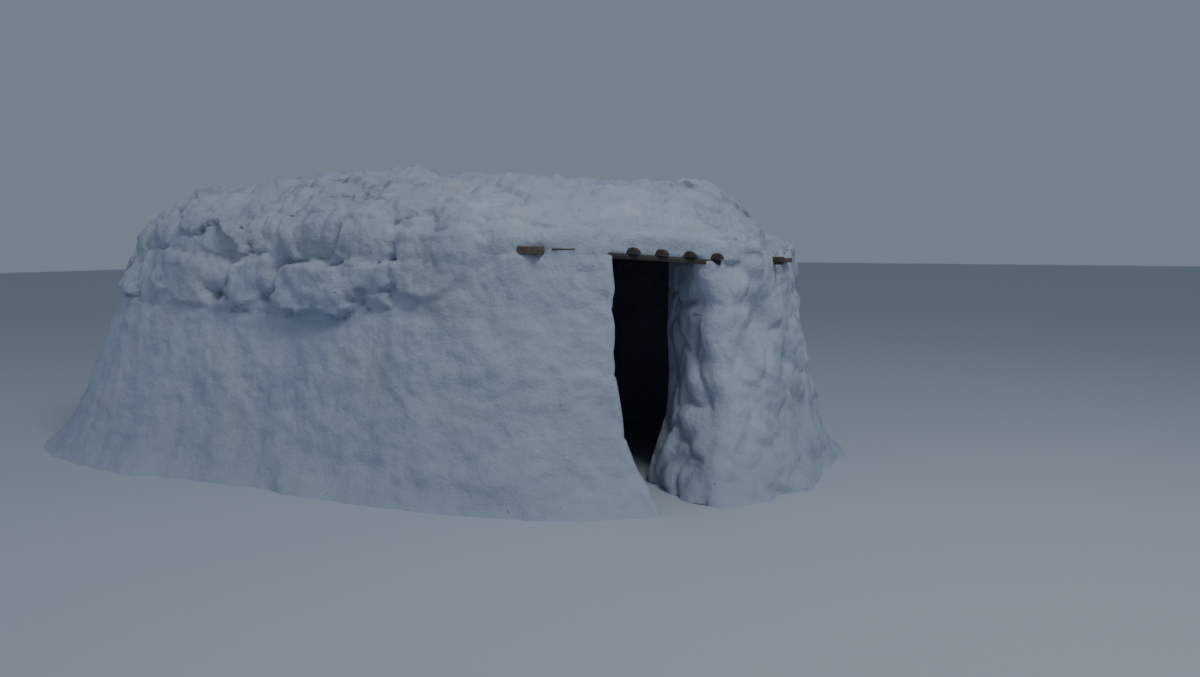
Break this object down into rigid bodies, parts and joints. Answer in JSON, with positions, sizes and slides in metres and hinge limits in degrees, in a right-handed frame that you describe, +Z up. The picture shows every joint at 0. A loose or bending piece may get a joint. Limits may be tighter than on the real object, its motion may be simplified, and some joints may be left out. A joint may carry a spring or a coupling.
{
  "type": "igloo",
  "caption": "Low oval snow house with battered packed walls, a block course, a heaped snow roof on timbers and a corner doorway under a plank lintel.",
  "frame": {"origin": "on the ground at the middle of the footprint", "axes": "+X along the house to the right, with the doorway at the front right corner; -Y to the front; +Z up"},
  "size_m": [5.9816, 4.0852, 2.0433],
  "materials": {
    "packed_snow": "smooth packed snow, shovel streaked and slightly dirty",
    "block_snow": "rough cut snow blocks with rounded faces",
    "heaped_snow": "lumpy heaped snow",
    "weathered_pole": "weathered split poles",
    "weathered_board": "weathered sawn boards",
    "dark_plank": "wet weathered plank"
  },
  "bodies": {
    "root": {"front_wall_left": "packed_snow", "front_wall_middle": "packed_snow", "front_wall_right": "packed_snow", "door_pier": "packed_snow", "right_end_wall": "packed_snow", "back_wall_right": "packed_snow", "back_wall_middle": "packed_snow", "back_wall_left": "packed_snow", "left_end_wall_back": "packed_snow", "left_end_wall_front": "packed_snow", "front_blocks_left": "block_snow", "front_blocks_middle": "block_snow", "front_blocks_right": "block_snow", "pier_blocks": "block_snow", "right_end_blocks": "block_snow", "back_blocks_right": "block_snow", "back_blocks_left": "block_snow", "left_end_blocks_back": "block_snow", "left_end_blocks_front": "block_snow", "door_lintel": "dark_plank", "entrance_pole_far_left": "weathered_pole", "entrance_pole_left": "weathered_pole", "entrance_pole_middle": "weathered_pole", "entrance_pole_right": "weathered_pole", "bearer_pole": "weathered_pole", "bearer_board": "weathered_board", "roof_boards_left": "weathered_board", "roof_boards_middle": "weathered_board", "roof_boards_right": "weathered_board", "projecting_board": "weathered_board", "rim_front_left": "heaped_snow", "rim_front_right": "heaped_snow", "door_header": "heaped_snow", "rim_right_end": "heaped_snow", "rim_back_right": "heaped_snow", "rim_back_left": "heaped_snow", "rim_left_end": "heaped_snow", "roof_snow_left": "heaped_snow", "roof_snow_middle": "heaped_snow", "roof_snow_right": "heaped_snow"}
  },
  "joints": []
}
